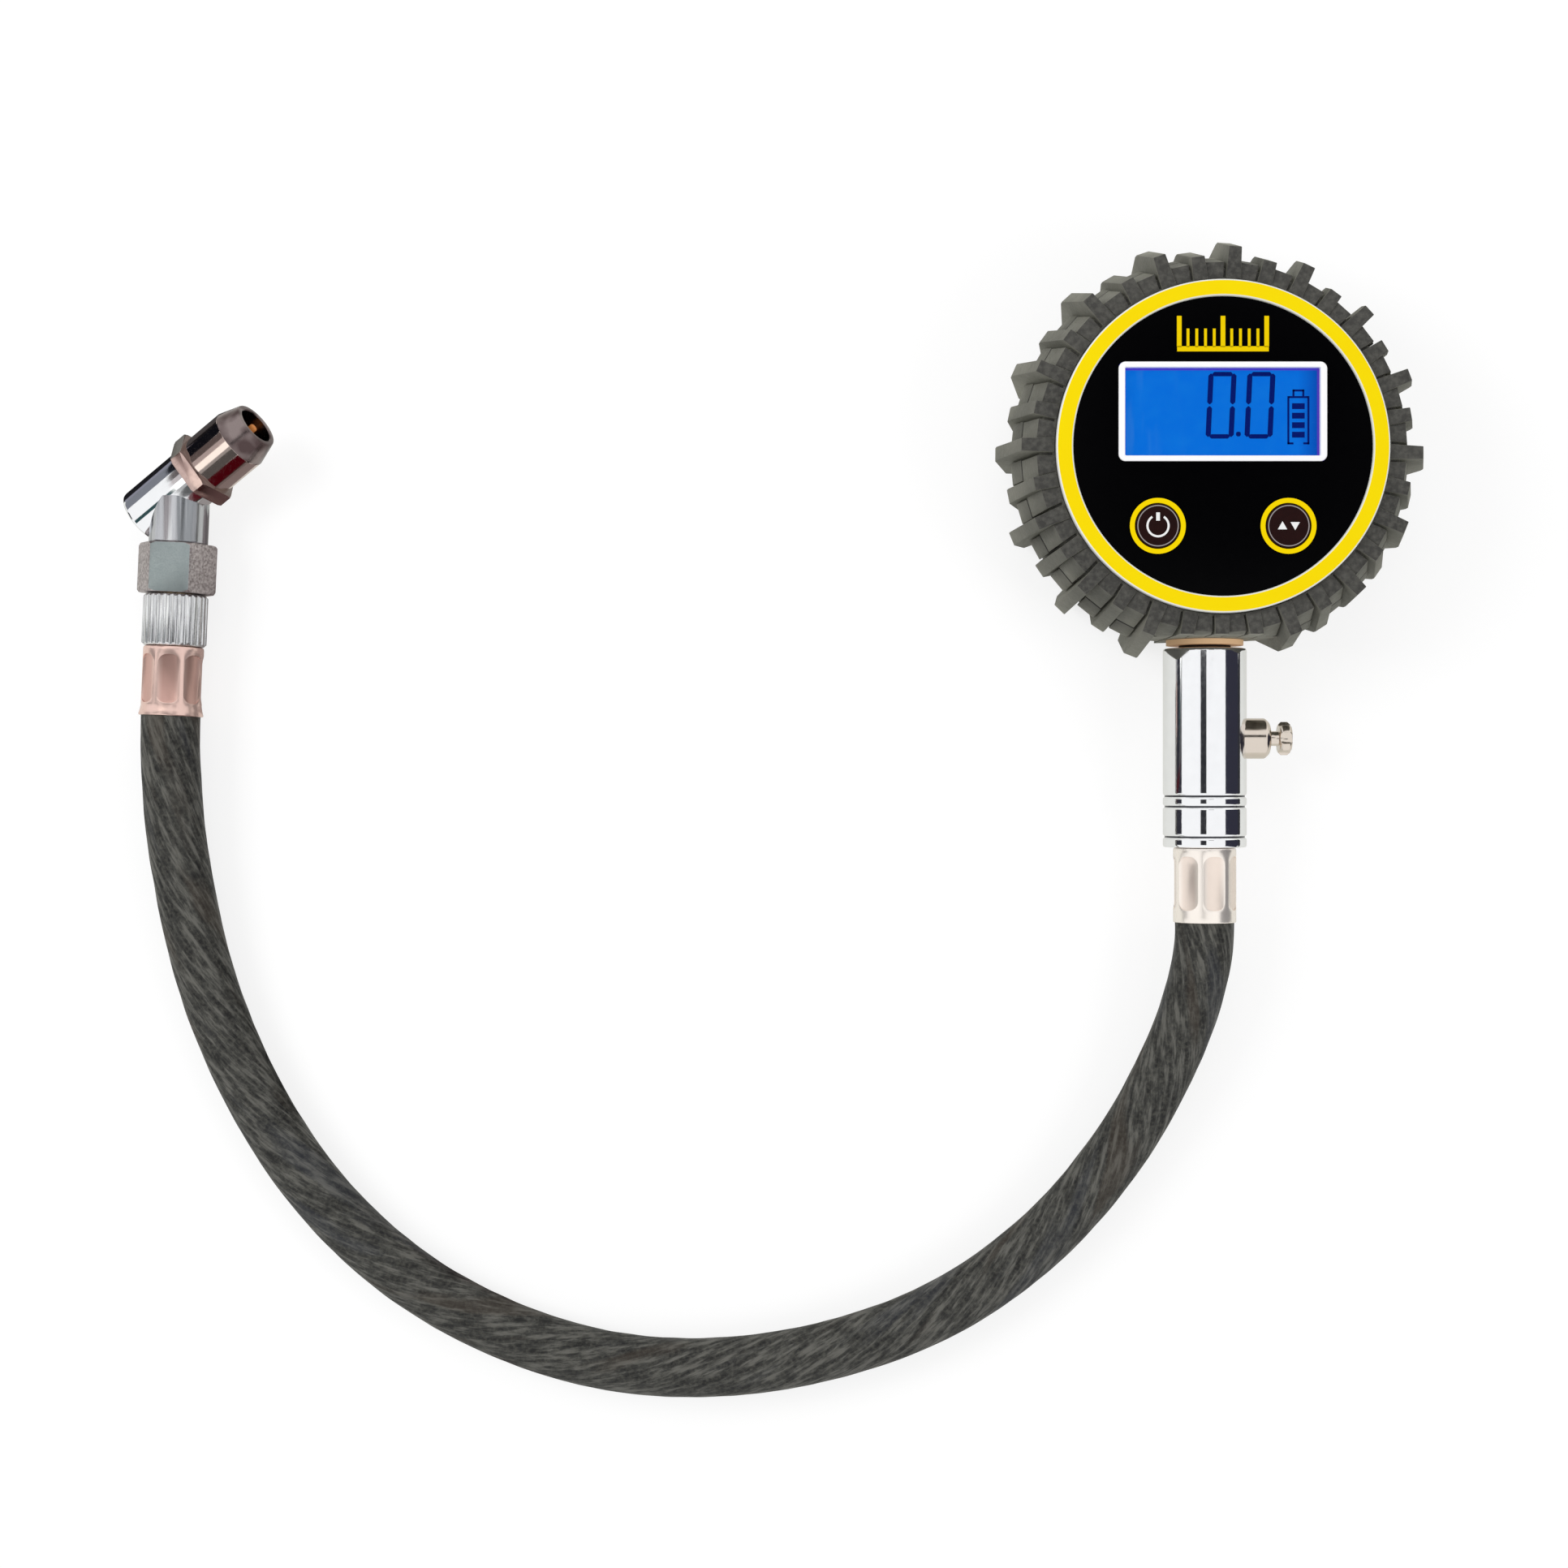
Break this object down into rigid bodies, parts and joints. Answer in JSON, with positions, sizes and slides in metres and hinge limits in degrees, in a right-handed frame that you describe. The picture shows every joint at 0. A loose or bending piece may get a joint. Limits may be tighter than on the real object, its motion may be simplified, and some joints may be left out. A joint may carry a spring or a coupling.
{
  "type": "digital tyre pressure gauge",
  "caption": "Round digital tyre pressure gauge in a tyre-shaped rubber boot, with a bleed valve on its stem and a short hose to an angled swivel chuck.",
  "frame": {"origin": "centre of the gauge head's flat back, on the surface that the gauge lies on", "axes": "+Z out of the dial, +Y to the top of the dial and +X to its right; the stem leaves along -Y and the chuck lies on the -X side"},
  "size_m": [0.2881, 0.2561, 0.039],
  "materials": {
    "boot": "matte moulded rubber",
    "case_back": "fine textured",
    "case_front": "fine textured",
    "case_gasket": "matte",
    "bezel_ring": "yellow, satin",
    "dial_panel": "black printed panel",
    "display_frame": "white, smooth",
    "display_window": "clear",
    "lcd_glass": "blue lit display",
    "lcd_backlight": "clear light guide",
    "lcd_holder": "moulded",
    "lcd_strips": "elastomer",
    "circuit_board": "solder resist",
    "board_parts": "moulded",
    "power_button": "dark, satin",
    "power_ring": "yellow, satin",
    "power_dome": "silicone",
    "unit_button": "dark, satin",
    "unit_ring": "yellow, satin",
    "unit_dome": "silicone",
    "battery_cells": "sleeved",
    "battery_contacts": "plated",
    "battery_wires": "insulation",
    "battery_door": "fine textured",
    "door_screw": "plated",
    "case_screws": "plated",
    "port_fitting": "turned",
    "port_nut": "turned",
    "port_washer": "fibre",
    "port_seal": "black",
    "pressure_sensor": "drawn can",
    "sensor_wires": "insulation",
    "stem_body": "mirror plated",
    "bleed_boss": "nickel plated",
    "bleed_knob": "nickel plated",
    "bleed_spring": "drawn wire",
    "bleed_seal": "black",
    "gauge_barb": "turned",
    "gauge_ferrule": "pale nickel rose, crimped",
    "hose": "wrapped, matte",
    "chuck_ferrule": "copper rose, crimped",
    "chuck_barb": "turned",
    "knurled_collar": "straight knurl",
    "swivel_oring": "black",
    "swivel_clip": "spring steel",
    "swivel_nut": "matte zinc grey",
    "chuck_body": "mirror plated",
    "chuck_nose": "bronze-grey plated",
    "chuck_seal": "black",
    "depressor_pin": "turned",
    "depressor_spring": "drawn wire"
  },
  "bodies": {
    "gauge": {"boot": "boot", "case_back": "case_back", "case_front": "case_front", "case_gasket": "case_gasket", "bezel_ring": "bezel_ring", "dial_panel": "dial_panel", "display_frame": "display_frame", "display_window": "display_window", "lcd_glass": "lcd_glass", "lcd_backlight": "lcd_backlight", "lcd_holder": "lcd_holder", "lcd_strips": "lcd_strips", "circuit_board": "circuit_board", "board_parts": "board_parts", "power_ring": "power_ring", "power_dome": "power_dome", "unit_ring": "unit_ring", "unit_dome": "unit_dome", "battery_cells": "battery_cells", "battery_contacts": "battery_contacts", "battery_wires": "battery_wires", "battery_door": "battery_door", "door_screw": "door_screw", "case_screws": "case_screws", "port_fitting": "port_fitting", "port_nut": "port_nut", "port_washer": "port_washer", "port_seal": "port_seal", "pressure_sensor": "pressure_sensor", "sensor_wires": "sensor_wires", "stem_body": "stem_body", "bleed_boss": "bleed_boss", "bleed_spring": "bleed_spring", "gauge_barb": "gauge_barb", "gauge_ferrule": "gauge_ferrule", "hose": "hose", "chuck_ferrule": "chuck_ferrule", "chuck_barb": "chuck_barb", "knurled_collar": "knurled_collar", "swivel_oring": "swivel_oring", "swivel_clip": "swivel_clip"},
    "power_button": {"power_button": "power_button"},
    "unit_button": {"unit_button": "unit_button"},
    "bleed_knob": {"bleed_knob": "bleed_knob", "bleed_seal": "bleed_seal"},
    "chuck": {"swivel_nut": "swivel_nut", "chuck_body": "chuck_body", "chuck_nose": "chuck_nose", "chuck_seal": "chuck_seal", "depressor_spring": "depressor_spring"},
    "depressor": {"depressor_pin": "depressor_pin"}
  },
  "joints": [
    {"name": "power_press", "type": "slide", "parent": "gauge", "child": "power_button", "axis": [0, 0, -1], "range_m": [0, 0.0008], "stiffness_N_per_m": 1500, "deforming": ["power_dome"]},
    {"name": "unit_press", "type": "slide", "parent": "gauge", "child": "unit_button", "axis": [0, 0, -1], "range_m": [0, 0.0008], "stiffness_N_per_m": 1500, "deforming": ["unit_dome"]},
    {"name": "bleed_press", "type": "slide", "parent": "gauge", "child": "bleed_knob", "axis": [-1, 0, 0], "range_m": [0, 0.0016], "stiffness_N_per_m": 2000, "deforming": ["bleed_spring"]},
    {"name": "chuck_swivel", "type": "hinge", "parent": "gauge", "child": "chuck", "pos_m": [-0.2283, -0.0058, 0.01], "axis": [0.0436, 0.999, 0], "continuous": true},
    {"name": "depressor_press", "type": "slide", "parent": "chuck", "child": "depressor", "axis": [-0.775, -0.5545, -0.3031], "range_m": [0, 0.0015], "stiffness_N_per_m": 1500, "deforming": ["depressor_spring"]}
  ]
}
